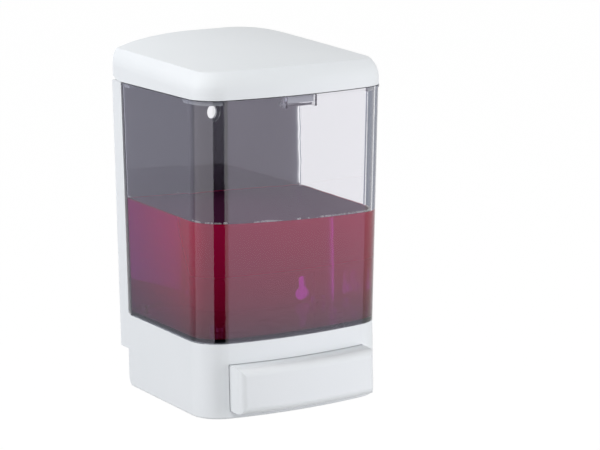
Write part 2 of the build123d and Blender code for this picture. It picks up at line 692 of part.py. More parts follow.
def make_pump_body():
    """Cylinder with inlet socket on top, outlet socket below and a flange for two screws."""
    body = bar_along_y(0, PUMP_Z, PUMP_RADIUS, PUMP_MOUTH, PUMP_END + PUMP_WALL)
    socket_top = DECK_UNDER - SEAT_GAP
    body += post(0, PORT_Y, SOCKET_RADIUS + SOCKET_WALL, PUMP_Z, socket_top)
    flange_top = DECK_UNDER - FLANGE_DROP
    half = PUMP_SCREW_SPACING / 2
    flange = block(
        -half,
        half,
        PORT_Y - PUMP_EAR_RADIUS,
        PORT_Y + PUMP_EAR_RADIUS,
        flange_top - FLANGE_THICKNESS,
        flange_top,
    )
    for x, y in pump_screw_places():
        flange += post(x, y, PUMP_EAR_RADIUS, flange_top - FLANGE_THICKNESS, flange_top)
    body += flange
    body += post(0, PORT_Y, NOZZLE_RADIUS + PUMP_WALL, OUTLET_Z - NOZZLE_PLUG, PUMP_Z)
    body -= bar_along_y(0, PUMP_Z, PUMP_BORE, PUMP_MOUTH - PAST, PUMP_END)
    body -= post(0, PORT_Y, SOCKET_RADIUS, SOCKET_FLOOR, socket_top + PAST)
    body -= post(0, PORT_Y, VALVE_CHAMBER, PUMP_Z, SEAT_Z)
    body -= post(0, PORT_Y, STEM_RADIUS + RUNNING_GAP, SEAT_Z - PAST, SOCKET_FLOOR + PAST)
    for index in range(INLET_HOLES):
        angle = 2 * pi * index / INLET_HOLES
        x = INLET_HOLE_CIRCLE * cos(angle)
        y = PORT_Y + INLET_HOLE_CIRCLE * sin(angle)
        body -= post(x, y, INLET_HOLE_RADIUS, SEAT_Z - PAST, SOCKET_FLOOR + PAST)
    body -= post(0, PORT_Y, OUTLET_PORT, OUTLET_Z - PAST, PUMP_Z)
    body -= post(0, PORT_Y, NOZZLE_RADIUS, OUTLET_Z - NOZZLE_PLUG - PAST, OUTLET_Z)
    for x, y in pump_screw_places():
        body -= post(x, y, SCREW_HOLE, flange_top - FLANGE_THICKNESS - PAST, flange_top + PAST)
    return body


def make_rod_guide():
    """Plug in the cylinder's mouth that guides the rod and seats the spring."""
    front = PUMP_MOUTH
    guide = bar_along_y(0, PUMP_Z, PUMP_BORE - RUNNING_GAP, front, front + GUIDE_PLUG_LENGTH)
    flange_radius = PUMP_BORE + GUIDE_FLANGE_REACH
    guide += bar_along_y(0, PUMP_Z, flange_radius, front - GUIDE_FLANGE_LENGTH, front)
    return guide - bar_along_y(0, PUMP_Z, ROD_RADIUS + RUNNING_GAP, front - FAR, front + FAR)


def piston_levels():
    """Rear face of the piston, the ring's middle and the joint between rod head and disc."""
    split = PISTON_REAR - PISTON_DISC_THICKNESS
    return PISTON_REAR, split - RING_RADIUS, split


def make_piston_rod():
    """Rod from the bar's boss to the piston head, with the ring's seat on its end."""
    rear, ring_y, split = piston_levels()
    head_front = rear - PISTON_LENGTH
    rod = bar_along_y(0, PUMP_Z, ROD_RADIUS, -BAR_FRONT_DEPTH + BAR_WALL + THREAD_GAP, head_front)
    rod += bar_along_y(0, PUMP_Z, PUMP_BORE - PISTON_GAP, head_front, ring_y - RING_RADIUS)
    seat = PUMP_BORE - RUNNING_GAP * 2 - RING_RADIUS * 2
    rod += bar_along_y(0, PUMP_Z, seat, ring_y - RING_RADIUS, split)
    rod -= bar_along_y(0, PUMP_Z, SCREW_HOLE, split - SCREW_BITE - THREAD_GAP, split)
    reach = ROD_RADIUS + PAST
    return rod - post(0, rod_pin_y(), ROD_PIN_RADIUS + THREAD_GAP, PUMP_Z - reach, PUMP_Z + reach)


def make_piston_seal():
    """Rubber ring between the rod's head and the disc."""
    rear, ring_y, split = piston_levels()
    ring_centre = PUMP_BORE - RUNNING_GAP - RING_RADIUS
    return Pos(0, ring_y, PUMP_Z) * Rot(90, 0, 0) * Torus(ring_centre, RING_RADIUS - RUNNING_GAP / 2)


def make_piston_disc():
    """Disc that holds the ring on the rod."""
    rear, ring_y, split = piston_levels()
    disc = bar_along_y(0, PUMP_Z, PUMP_BORE - PISTON_GAP, split, rear)
    return disc - bar_along_y(0, PUMP_Z, SCREW_HOLE, split - PAST, rear + PAST)


def make_piston_screw():
    """Screw through the disc into the rod's end."""
    rear, ring_y, split = piston_levels()
    upright = screw(0, 0, 0, PISTON_DISC_THICKNESS + SCREW_BITE)
    return Pos(0, rear, PUMP_Z) * Rot(90, 0, 0) * upright


def make_rod_pin():
    """Cross pin through the bar's boss and the rod."""
    reach = ROD_RADIUS + ROD_BOSS_WALL
    return post(0, rod_pin_y(), ROD_PIN_RADIUS, PUMP_Z - reach, PUMP_Z + reach)


def spring_ends():
    """Seats of the spring: the rod guide's flange and the inside of the bar's front."""
    rear = PUMP_MOUTH - GUIDE_FLANGE_LENGTH - SEAT_GAP
    bow = BOW_RADIUS + BAR_PROUD - BAR_WALL
    reach = SPRING_RADIUS + SPRING_WIRE
    front = -BAR_FRONT_DEPTH + BAR_WALL + (bow - sqrt(bow**2 - reach**2)) + SEAT_GAP
    return front, rear


def spring_point(turn, start, pitch):
    """Point and direction of the spring's wire after a number of turns."""
    angle = 2 * pi * turn
    place = Vector(SPRING_RADIUS * cos(angle), start + pitch * turn, PUMP_Z + SPRING_RADIUS * sin(angle))
    direction = Vector(-SPRING_RADIUS * sin(angle), pitch / (2 * pi), SPRING_RADIUS * cos(angle))
    return place, direction.normalized()


def make_return_spring():
    """Wire spring round the rod, each quarter turn a pair of tangent arcs."""
    front, rear = spring_ends()
    start = front + SPRING_WIRE
    pitch = (rear - front - SPRING_WIRE * 2) / SPRING_TURNS
    quarters = SPRING_TURNS * 4
    arcs = []
    for index in range(quarters):
        first, first_way = spring_point(index / 4, start, pitch)
        last, last_way = spring_point((index + 1) / 4, start, pitch)
        span = last - first
        ways = first_way + last_way
        bend = 2 * first_way.dot(last_way) - 2
        along = span.dot(ways)
        handle = (along - sqrt(along**2 - bend * span.dot(span))) / bend
        knee_first = first + first_way * handle
        knee_last = last - last_way * handle
        middle = (knee_first + knee_last) / 2
        arcs.append(TangentArc(first, middle, tangent=first_way))
        arcs.append(TangentArc(middle, last, tangent=knee_last - knee_first))
    path = Wire(arcs)
    place, way = spring_point(0, start, pitch)
    section = Plane(origin=place, z_dir=way) * Circle(SPRING_WIRE)
    spring = sweep(section, path=path)
    gap = pitch - SPRING_WIRE * 2
    print("spring: gap between turns", round(gap, 2), "mm, volume", round(spring.volume, 1))
    return spring


def make_inlet_valve():
    """Umbrella valve: flap under the seat, stem through it and a knob above."""
    flap_top = SEAT_Z - RUNNING_GAP
    valve = post(0, PORT_Y, UMBRELLA_RADIUS, flap_top - UMBRELLA_THICKNESS, flap_top)
    valve += post(0, PORT_Y, STEM_RADIUS, flap_top, SOCKET_FLOOR + STEM_KNOB_HEIGHT)
    knob_low = SOCKET_FLOOR + RUNNING_GAP
    return valve + post(0, PORT_Y, STEM_KNOB_RADIUS, knob_low, knob_low + STEM_KNOB_HEIGHT)


def make_nozzle():
    """Outlet spout: plug in the pump body with a seat for the valve, and a tip."""
    plug = NOZZLE_RADIUS - RUNNING_GAP
    bore = DUCKBILL_RADIUS + SEAT_GAP
    plug_low = OUTLET_Z - NOZZLE_PLUG
    nozzle = post(0, PORT_Y, plug, plug_low, NOZZLE_TOP)
    nozzle += post(0, PORT_Y, bore + NOZZLE_WALL, BASE_Z + NOZZLE_TIP_HEIGHT, plug_low)
    nozzle -= post(0, PORT_Y, bore, BASE_Z, NOZZLE_TOP + PAST)
    return nozzle - post(0, PORT_Y, plug - NOZZLE_WALL, NOZZLE_TOP - DUCKBILL_FLANGE, NOZZLE_TOP + PAST)


def make_outlet_valve():
    """Duckbill valve: flange in the nozzle's seat and a bill that narrows to a slit."""
    flange_low = NOZZLE_TOP - DUCKBILL_FLANGE
    flange = NOZZLE_RADIUS - RUNNING_GAP * 2 - NOZZLE_WALL
    valve = post(0, PORT_Y, flange, flange_low, NOZZLE_TOP)
    tip = flange_low - DUCKBILL_LENGTH
    wedge_points = [
        (PORT_Y - DUCKBILL_RADIUS, flange_low),
        (PORT_Y + DUCKBILL_RADIUS, flange_low),
        (PORT_Y + DUCKBILL_LIP / 2, tip),
        (PORT_Y - DUCKBILL_LIP / 2, tip),
    ]
    wedge = extrude(Plane.YZ * make_face(Polyline(wedge_points, close=True)), DUCKBILL_RADIUS, both=True)
    bill = wedge & post(0, PORT_Y, DUCKBILL_RADIUS, tip, flange_low)
    bore = post(0, PORT_Y, DUCKBILL_BORE, flange_low - DUCKBILL_BORE_DEPTH, NOZZLE_TOP + PAST)
    return valve + bill - bore


def make_tank_seal():
    """Rubber sleeve between the tank's spigot and the pump's inlet socket."""
    low = SOCKET_FLOOR + RUNNING_GAP
    high = DECK_UNDER - SEAT_GAP
    ring = post(0, PORT_Y, SOCKET_RADIUS - RUNNING_GAP, low, high)
    step = SPIGOT_END - RUNNING_GAP
    ring -= post(0, PORT_Y, SPIGOT_RADIUS + RUNNING_GAP, step, high + PAST)
    return ring - post(0, PORT_Y, SPIGOT_BORE, low - PAST, high + PAST)


def make_tank_screws():
    """Four screws from below the deck into the tank's floor."""
    length = SHELL + SCREW_BITE
    return Compound(children=[screw(x, y, DECK_UNDER, length) for x, y in tank_screw_places()])


def make_pump_screws():
    """Two screws through the pump's flange."""
    head_z = DECK_UNDER - FLANGE_DROP - FLANGE_THICKNESS
    length = FLANGE_THICKNESS + SCREW_BITE
    return Compound(children=[screw(x, y, head_z, length) for x, y in pump_screw_places()])


def make_guide_screws():
    """Two shoulder screws that carry the guide blades."""
    screws = []
    head_top = WASHER_TOP - WASHER_THICKNESS
    for x, y in guide_screw_places():
        head = post(x, y, GUIDE_HEAD_RADIUS, head_top - GUIDE_HEAD_HEIGHT, head_top)
        head = fillet(head.edges().group_by(Axis.Z)[0], GUIDE_HEAD_ROUND)
        shoulder = post(x, y, SHOULDER_RADIUS, head_top, GUIDE_BOSS_END)
        thread = post(x, y, SCREW_RADIUS, GUIDE_BOSS_END, GUIDE_BOSS_END + SCREW_BITE)
        screws.append(head + shoulder + thread)
    return Compound(children=screws)


def make_guide_washers():
    """Washers between the screw heads and the guide blades."""
    washers = []
    for x, y in guide_screw_places():
        washer = post(x, y, WASHER_RADIUS, WASHER_TOP - WASHER_THICKNESS, WASHER_TOP)
        hole = post(x, y, SHOULDER_RADIUS + THREAD_GAP, WASHER_TOP - FAR, WASHER_TOP + FAR)
        washers.append(washer - hole)
    return Compound(children=washers)


PIECES = {
    "housing": make_housing,
    "tank": make_tank,
    "tank_seal": make_tank_seal,
    "tank_screws": make_tank_screws,
    "lid": make_lid,
    "lid_hinge_pins": make_hinge_pins,
    "push_bar": make_push_bar,
    "guide_screws": make_guide_screws,
    "guide_washers": make_guide_washers,
    "pump_body": make_pump_body,
    "pump_screws": make_pump_screws,
    "rod_guide": make_rod_guide,
    "inlet_valve": make_inlet_valve,
    "outlet_valve": make_outlet_valve,
    "nozzle": make_nozzle,
    "piston_rod": make_piston_rod,
    "piston_seal": make_piston_seal,
    "piston_disc": make_piston_disc,
    "piston_screw": make_piston_screw,
    "rod_pin": make_rod_pin,
    "return_spring": make_return_spring,
}

os.makedirs("parts", exist_ok=True)
for name, make in PIECES.items():
    export_step(make(), os.path.join("parts", name + ".step"))
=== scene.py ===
import json
import math
import random

import bmesh
import bpy
from mathutils import Matrix, Vector


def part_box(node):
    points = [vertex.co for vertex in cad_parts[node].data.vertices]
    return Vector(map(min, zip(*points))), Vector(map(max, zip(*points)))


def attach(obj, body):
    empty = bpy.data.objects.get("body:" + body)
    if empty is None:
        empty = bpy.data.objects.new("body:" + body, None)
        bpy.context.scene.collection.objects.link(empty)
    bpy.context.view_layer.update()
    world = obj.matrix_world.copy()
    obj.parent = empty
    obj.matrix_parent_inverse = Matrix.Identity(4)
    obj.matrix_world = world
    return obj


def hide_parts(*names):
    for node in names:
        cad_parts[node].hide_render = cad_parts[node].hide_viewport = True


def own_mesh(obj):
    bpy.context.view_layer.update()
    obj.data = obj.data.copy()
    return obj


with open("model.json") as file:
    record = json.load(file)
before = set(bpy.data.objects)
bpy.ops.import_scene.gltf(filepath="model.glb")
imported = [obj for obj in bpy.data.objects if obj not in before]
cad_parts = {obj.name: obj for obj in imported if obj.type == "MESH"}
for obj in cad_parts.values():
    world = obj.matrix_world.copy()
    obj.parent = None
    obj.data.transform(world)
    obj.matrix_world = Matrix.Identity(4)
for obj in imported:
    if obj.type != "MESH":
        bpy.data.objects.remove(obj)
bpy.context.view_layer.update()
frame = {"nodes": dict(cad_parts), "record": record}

# Sizes of the dispenser in millimetres, as the solids have them
BASE_UNDER = -105.0
TANK_FOOT = -60.4
TANK_RIM = 81.6
TANK_REAR = -12.2
TANK_WALL = 2.2
TANK_FLOOR = 3.0
FOOT_HALF = 60.0
FOOT_DEPTH = 116.6
RIM_HALF = 61.3
RIM_DEPTH = 124.9
CORNER_RADIUS = 19.4
REAR_RADIUS = 4.0
BOW_RADIUS = 236.0
PUMP_AXIS = -84.0

# Return spring
SPRING_RADIUS = 8.0
SPRING_WIRE = 0.6
SPRING_TURNS = 7
SPRING_STEPS = 32
WIRE_SIDES = 12

# Liquid soap: level in the middle of the tank, its overlap with the walls and the edge that climbs them
SOAP_LEVEL = 8.6
SOAP_MIDDLE = -60.0
# the dispenser in the photograph leans about two degrees, so its soap falls to the right and front per mm
SOAP_FALL_RIGHT = 0.0333
SOAP_FALL_FRONT = 0.0129
SOAP_OVERLAP = 0.15
MENISCUS = ((0.0, 0.9), (0.35, 0.4), (0.9, 0.12), (2.0, 0.0))
SOAP_PEARL = 0.54
SOAP_CLEAR = 0.2
# share of the soap's top that is painted dark mauve, a painted reflection of the dark rear of the tank
SOAP_TOP_PAINTED_SHARE = 0.88
WALL_MARK = "against_wall"
FRONT_MARK = 1.0
REAR_MARK = 2.0
# how near the inner face of the rear wall a place counts as part of that wall
REAR_MARGIN = 0.4
BOW_STEPS = 40
CORNER_STEPS = 16
REAR_STEPS = 4

# Foam along the soap's edge
FOAM_SEED = 11
FOAM_PER_CLUSTER = 9
FOAM_SPREAD = 4.5
FOAM_SMALL = 0.2
FOAM_LARGE = 0.7
FOAM_CLUSTERS = 26
FOAM_WALL_GAP = 1.0
FOAM_CLIMB = 0.9
FOAM_DRIFT = 0.4
FOAM_FLOAT = 0.6

# Camera of the photograph
CAMERA_PLACE = (-693.36, -1356.28, 286.69)
CAMERA_TARGET = (38.755, -50.0, -10.22)
CAMERA_ROLL = -1.034
CAMERA_LENS = 150.72
SENSOR_WIDTH = 36.0

# Studio
FLOOR_DROP = 450.0
FLOOR_SIZE = 16000.0
FLOOR_FILL = 0.85
FLOOR_WHITE = 1.13
AMBIENT = 0.46
# share of the surround's light behind the walls of the tank, and of what its rear wall throws back
BEHIND_SMOKE = 0.13
THROWN_BACK = 0.3
# the photograph's surround is brighter than white, which shows only through the smoke
SURROUND_LIFT = 1.06
LAMP_TARGET = (0.0, -60.0, 0.0)
# name, azimuth, elevation, distance, width, height, colour, watts and the rays that meet each lamp
SOFTBOXES = (
    ("left_softbox", -105.0, 30.0, 1300.0, 800.0, 1000.0, "#FFFFFF", 11.2, ("diffuse",)),
    ("right_softbox", 45.0, 0.0, 1500.0, 1000.0, 1000.0, "#FFFFFF", 9.2, ("diffuse",)),
    ("front_softbox", -15.0, 27.0, 1500.0, 700.0, 700.0, "#FFFFFF", 6.1, ("diffuse",)),
    ("low_left_panel", -80.0, -18.0, 1000.0, 1270.0, 700.0, "#E1D1FF", 1.8, ("glossy",)),
    ("low_front_panel", 29.0, -18.0, 1000.0, 1100.0, 700.0, "#E1D1FF", 2.6, ("glossy",)),
    ("low_front_fill", 29.0, -18.0, 1040.0, 1100.0, 700.0, "#E1D1FF", 0.45, ("transmission",)),
)
CARD_RADIUS = 300.0
CARD_LOW = -300.0
CARD_HIGH = 350.0
CARD_STEPS = 24
# name, colour, azimuth at both ends, the upright axis that a card stands round and the rays that meet it
CARDS = (
    ("studio_flag", "#000000", -45.0, -8.0, -40.0, -97.0, ("glossy", "transmission")),
    ("studio_grey_card", "#D2D2E2", -185.0, -112.0, -60.0, -60.0, ("glossy", "transmission")),
    ("studio_edge_card", "#7A8092", 100.0, 143.2, 60.0, -60.0, ("transmission",)),
)


def metres(*lengths):
    """Millimetres to the frame's metres."""
    return Vector([length * 0.001 for length in lengths])


def colour(code):
    """Linear colour of an sRGB hex value."""
    parts = [int(code[place:place + 2], 16) / 255 for place in (1, 3, 5)]
    return tuple(c / 12.92 if c <= 0.04045 else ((c + 0.055) / 1.055) ** 2.4 for c in parts) + (1.0,)


def per_metre(length):
    """Noise scale for a feature of a length in millimetres."""
    return 1000.0 / length


def add(tree, kind, sockets=None, **settings):
    """One node with its settings; a socket takes a number, a colour or another node's output."""
    item = tree.nodes.new(kind)
    for name, value in settings.items():
        setattr(item, name, value)
    for key, value in (sockets or {}).items():
        if isinstance(value, bpy.types.NodeSocket):
            tree.links.new(value, item.inputs[key])
        else:
            item.inputs[key].default_value = value
    return item


def new_material(name):
    """Empty node material and its tree."""
    material = bpy.data.materials.new(name)
    material.use_nodes = True
    material.node_tree.nodes.clear()
    return material, material.node_tree


def finish_material(tree, surface, volume=None):
    """Output node of a material."""
    sockets = {"Surface": surface}
    if volume is not None:
        sockets["Volume"] = volume
    add(tree, "ShaderNodeOutputMaterial", sockets)


def moulded_plastic(name, light, dark, roughness, grain, depth):
    """Injection moulded plastic: satin skin with a fine tool texture and a faint drift of shade."""
    material, tree = new_material(name)
    place = add(tree, "ShaderNodeTexCoord").outputs["Object"]
    skin = add(tree, "ShaderNodeTexNoise", {"Vector": place, "Scale": per_metre(grain), "Detail": 3.0})
    drift = add(tree, "ShaderNodeTexNoise", {"Vector": place, "Scale": per_metre(45.0), "Detail": 1.0})
    shade = add(
        tree, "ShaderNodeMix",
        {"Factor": drift.outputs["Fac"], "A": colour(dark), "B": colour(light)}, data_type="RGBA",
    )
    gloss = add(
        tree, "ShaderNodeMapRange",
        {"Value": skin.outputs["Fac"], "To Min": roughness - 0.05, "To Max": roughness + 0.05},
    )
    relief = add(
        tree, "ShaderNodeBump",
        {"Height": skin.outputs["Fac"], "Strength": 0.25, "Distance": depth * 0.001},
    )
    surface = add(
        tree, "ShaderNodeBsdfPrincipled",
        {
            "Base Color": shade.outputs["Result"],
            "Roughness": gloss.outputs["Result"],
            "Normal": relief.outputs["Normal"],
            "IOR": 1.5,
        },
    )
    finish_material(tree, surface.outputs["BSDF"])
    return material


def smoked_san():
    """Clear SAN with a light grey smoke, moulded in a polished tool: sharp reflections, darker where
    the eye looks along a wall, and a rear wall that passes less lamp light than the others, a painted shade
    on the panel behind it."""
    material, tree = new_material("smoked SAN, polished moulding")
    place = add(tree, "ShaderNodeTexCoord").outputs["Object"]
    flow = add(tree, "ShaderNodeTexNoise", {"Vector": place, "Scale": per_metre(28.0), "Detail": 2.0})
    ripple = add(
        tree, "ShaderNodeBump",
        {"Height": flow.outputs["Fac"], "Strength": 0.12, "Distance": 0.0002},
    )
    slant = add(tree, "ShaderNodeLayerWeight", {"Blend": 0.5}).outputs["Facing"]
    deepened = add(
        tree, "ShaderNodeMapRange", {"Value": slant, "From Min": 0.55, "From Max": 0.95},
    )
    axes = add(tree, "ShaderNodeSeparateXYZ", {"Vector": place})
    smoke_tint = add(
        tree, "ShaderNodeMix",
        {"Factor": deepened.outputs["Result"], "A": colour("#FFFFFF"), "B": colour("#70767E")},
        data_type="RGBA",
    )
    clear = add(
        tree, "ShaderNodeBsdfPrincipled",
        {
            "Base Color": smoke_tint.outputs["Result"],
            "Roughness": 0.0,
            "IOR": 1.57,
            "Transmission Weight": 1.0,
            "Normal": ripple.outputs["Normal"],
        },
    )
    wetted = add(
        tree, "ShaderNodeBsdfRefraction",
        {
            "Color": smoke_tint.outputs["Result"], "Roughness": 0.0, "IOR": 1.57,
            "Normal": ripple.outputs["Normal"],
        },
    )
    # the inside of a wall that soap wets has no gloss of its own
    over_soap = add(
        tree, "ShaderNodeVectorMath",
        {0: place, 1: (SOAP_FALL_RIGHT, -SOAP_FALL_FRONT, 1.0)}, operation="DOT_PRODUCT",
    )
    under_level = add(
        tree, "ShaderNodeMath",
        {0: over_soap.outputs["Value"], 1: (SOAP_LEVEL - SOAP_FALL_FRONT * SOAP_MIDDLE) * 0.001},
        operation="LESS_THAN",
    )
    sideways = add(tree, "ShaderNodeMath", {0: axes.outputs["X"]}, operation="ABSOLUTE")
    within = add(
        tree, "ShaderNodeMath",
        {0: sideways.outputs["Value"], 1: (FOOT_HALF - TANK_WALL * 0.5) * 0.001}, operation="LESS_THAN",
    )
    over_floor = add(
        tree, "ShaderNodeMath",
        {0: axes.outputs["Z"], 1: (TANK_FOOT + TANK_FLOOR * 0.5) * 0.001}, operation="GREATER_THAN",
    )
    rear_face = (TANK_REAR - TANK_WALL) * 0.001
    rear_start = rear_face - REAR_MARGIN * 0.001
    before_rear = add(
        tree, "ShaderNodeMath", {0: axes.outputs["Y"], 1: rear_start}, operation="LESS_THAN",
    )
    rear_wall = add(
        tree, "ShaderNodeMath", {0: axes.outputs["Y"], 1: rear_start}, operation="GREATER_THAN",
    )
    rear_inside = add(
        tree, "ShaderNodeMath",
        {0: axes.outputs["Y"], 1: rear_face, 2: REAR_MARGIN * 0.001}, operation="COMPARE",
    )
    leaving = add(tree, "ShaderNodeNewGeometry").outputs["Backfacing"]
    near = add(
        tree, "ShaderNodeMath", {0: leaving, 1: before_rear.outputs["Value"]}, operation="MULTIPLY",
    )
    wet = add(
        tree, "ShaderNodeMath",
        {0: near.outputs["Value"], 1: rear_inside.outputs["Value"]}, operation="MAXIMUM",
    ).outputs["Value"]
    for bound in (under_level, within, over_floor):
        wet = add(
            tree, "ShaderNodeMath", {0: wet, 1: bound.outputs["Value"]}, operation="MULTIPLY",
        ).outputs["Value"]
    wall = add(
        tree, "ShaderNodeMixShader", {"Fac": wet, 1: clear.outputs["BSDF"], 2: wetted.outputs["BSDF"]},
    )
    # the rear wall passes less lamp light than the other walls of the same plastic: painted shade that
    # darkens the panel behind the tank
    shadow_pass_and_painted_shade = add(
        tree, "ShaderNodeMix",
        {"Factor": rear_wall.outputs["Value"], "A": colour("#F0F1F2"), "B": colour("#7A787E")},
        data_type="RGBA",
    )
    passed = add(tree, "ShaderNodeBsdfTransparent", {"Color": shadow_pass_and_painted_shade.outputs["Result"]})
    path = add(tree, "ShaderNodeLightPath")
    surface = add(
        tree, "ShaderNodeMixShader",
        {"Fac": path.outputs["Is Shadow Ray"], 1: wall.outputs["Shader"], 2: passed.outputs["BSDF"]},
    )
    smoke = add(tree, "ShaderNodeVolumeAbsorption", {"Color": colour("#D4D5DC"), "Density": 100.0})
    finish_material(tree, surface.outputs["Shader"], smoke.outputs["Volume"])
    return material


def red_soap():
    """Dyed liquid soap: clear ruby red with a little pearly diffuse share, its colour painted brighter near
    the top and darker towards the bottom, a painted glow and shade of light entering near the top.
    """
    material, tree = new_material("liquid soap, red dyed")
    place = add(tree, "ShaderNodeTexCoord").outputs["Object"]
    height = add(tree, "ShaderNodeSeparateXYZ", {"Vector": place}).outputs["Z"]
    filled = add(
        tree, "ShaderNodeMapRange",
        {"Value": height, "From Min": TANK_FOOT * 0.001, "From Max": SOAP_LEVEL * 0.001},
    )
    painted_depth_glow = add(tree, "ShaderNodeValToRGB", {"Fac": filled.outputs["Result"]})
    ramp = painted_depth_glow.color_ramp
    ramp.interpolation = "B_SPLINE"
    # brighter towards the top, darker towards the bottom: painted glow near the top and painted shade
    # deeper down
    ramp.elements[0].color = colour("#58101C")
    ramp.elements[1].color = colour("#FF2060")
    for level, shade in ((0.1, "#8A0F2E"), (0.37, "#D2164A"), (0.7, "#EC1956")):
        ramp.elements.new(level).color = colour(shade)
    against_wall = add(tree, "ShaderNodeAttribute", attribute_type="GEOMETRY", attribute_name=WALL_MARK)
    # the soap's top is painted dark mauve, a painted reflection of the dark rear of the tank; its walls
    # take the painted glow
    body = add(
        tree, "ShaderNodeMix",
        {"Factor": against_wall.outputs["Fac"], "A": colour("#5A2A48"), "B": painted_depth_glow.outputs["Color"]},
        data_type="RGBA",
    )
    glow = add(
        tree, "ShaderNodeBsdfPrincipled",
        {"Base Color": body.outputs["Result"], "Roughness": 0.5, "Specular IOR Level": 0.0},
    )
    clear = add(
        tree, "ShaderNodeBsdfRefraction", {"Color": colour("#FFFFFF"), "Roughness": 0.0, "IOR": 1.36},
    )
    front_share = add(
        tree, "ShaderNodeMapRange",
        {"Value": against_wall.outputs["Fac"], "To Min": SOAP_TOP_PAINTED_SHARE, "To Max": SOAP_PEARL},
    )
    share = add(
        tree, "ShaderNodeMapRange",
        {
            "Value": against_wall.outputs["Fac"], "From Min": FRONT_MARK, "From Max": REAR_MARK,
            "To Min": front_share.outputs["Result"], "To Max": SOAP_CLEAR,
        },
    )
    inside = add(tree, "ShaderNodeNewGeometry").outputs["Backfacing"]
    outside = add(tree, "ShaderNodeMath", {0: 1.0, 1: inside}, operation="SUBTRACT")
    shown = add(
        tree, "ShaderNodeMath",
        {0: share.outputs["Result"], 1: outside.outputs["Value"]}, operation="MULTIPLY",
    )
    surface = add(
        tree, "ShaderNodeMixShader",
        {"Fac": shown.outputs["Value"], 1: clear.outputs["BSDF"], 2: glow.outputs["BSDF"]},
    )
    dye = add(tree, "ShaderNodeVolumeAbsorption", {"Color": colour("#E263E8"), "Density": 40.0})
    finish_material(tree, surface.outputs["Shader"], dye.outputs["Volume"])
    return material


def soap_film():
    """Foam bubbles: thin wet film, clear with a bright rim."""
    material, tree = new_material("soap film, wet foam")
    place = add(tree, "ShaderNodeTexCoord").outputs["Object"]
    streak = add(tree, "ShaderNodeTexNoise", {"Vector": place, "Scale": per_metre(1.5)})
    tint = add(
        tree, "ShaderNodeMix",
        {"Factor": streak.outputs["Fac"], "A": colour("#FBF5F6"), "B": colour("#E4D3D9")}, data_type="RGBA",
    )
    surface = add(
        tree, "ShaderNodeBsdfPrincipled",
        {"Base Color": tint.outputs["Result"], "Roughness": 0.08, "IOR": 1.33, "Transmission Weight": 0.25},
    )
    finish_material(tree, surface.outputs["BSDF"])
    return material


def drawn_steel():
    """Bright drawn and turned steel: fine lines round the piece stretch its highlights."""
    material, tree = new_material("steel, drawn and turned")
    place = add(tree, "ShaderNodeTexCoord").outputs["Object"]
    lines = add(tree, "ShaderNodeMapping", {"Vector": place, "Scale": (1.0, 1.0, 8.0)})
    # turning marks are finer than a pixel, so they are drawn 0.5 mm apart to show
    marks = add(
        tree, "ShaderNodeTexNoise",
        {"Vector": lines.outputs["Vector"], "Scale": per_metre(4.0), "Detail": 4.0},
    )
    gloss = add(
        tree, "ShaderNodeMapRange", {"Value": marks.outputs["Fac"], "To Min": 0.18, "To Max": 0.36},
    )
    shade = add(
        tree, "ShaderNodeMix",
        {"Factor": marks.outputs["Fac"], "A": colour("#A9ABAE"), "B": colour("#C9CBCD")}, data_type="RGBA",
    )
    relief = add(
        tree, "ShaderNodeBump", {"Height": marks.outputs["Fac"], "Strength": 0.2, "Distance": 0.00002},
    )
    surface = add(
        tree, "ShaderNodeBsdfPrincipled",
        {
            "Base Color": shade.outputs["Result"],
            "Metallic": 1.0,
            "Roughness": gloss.outputs["Result"],
            "Anisotropic": 0.4,
            "Normal": relief.outputs["Normal"],
        },
    )
    finish_material(tree, surface.outputs["BSDF"])
    return material


def new_piece(name, shape, material):
    """Object at the origin from a finished bmesh."""
    mesh = bpy.data.meshes.new(name)
    shape.to_mesh(mesh)
    shape.free()
    mesh.materials.append(material)
    piece = bpy.data.objects.new(name, mesh)
    bpy.context.scene.collection.objects.link(piece)
    return piece


def turn_about(shape, corner, centre, degrees, steps):
    """Carry the last corner of an outline round an upright axis, leaving an arc."""
    arc = bmesh.ops.spin(
        shape, geom=[corner], cent=centre, axis=(0, 0, 1), angle=math.radians(degrees), steps=steps,
    )
    return next(part for part in arc["geom_last"] if isinstance(part, bmesh.types.BMVert))


def run_to(shape, corner, place):
    """Carry the last corner of an outline straight to a place."""
    run = bmesh.ops.extrude_vert_indiv(shape, verts=[corner])
    run["verts"][0].co = place
    return run["verts"][0]


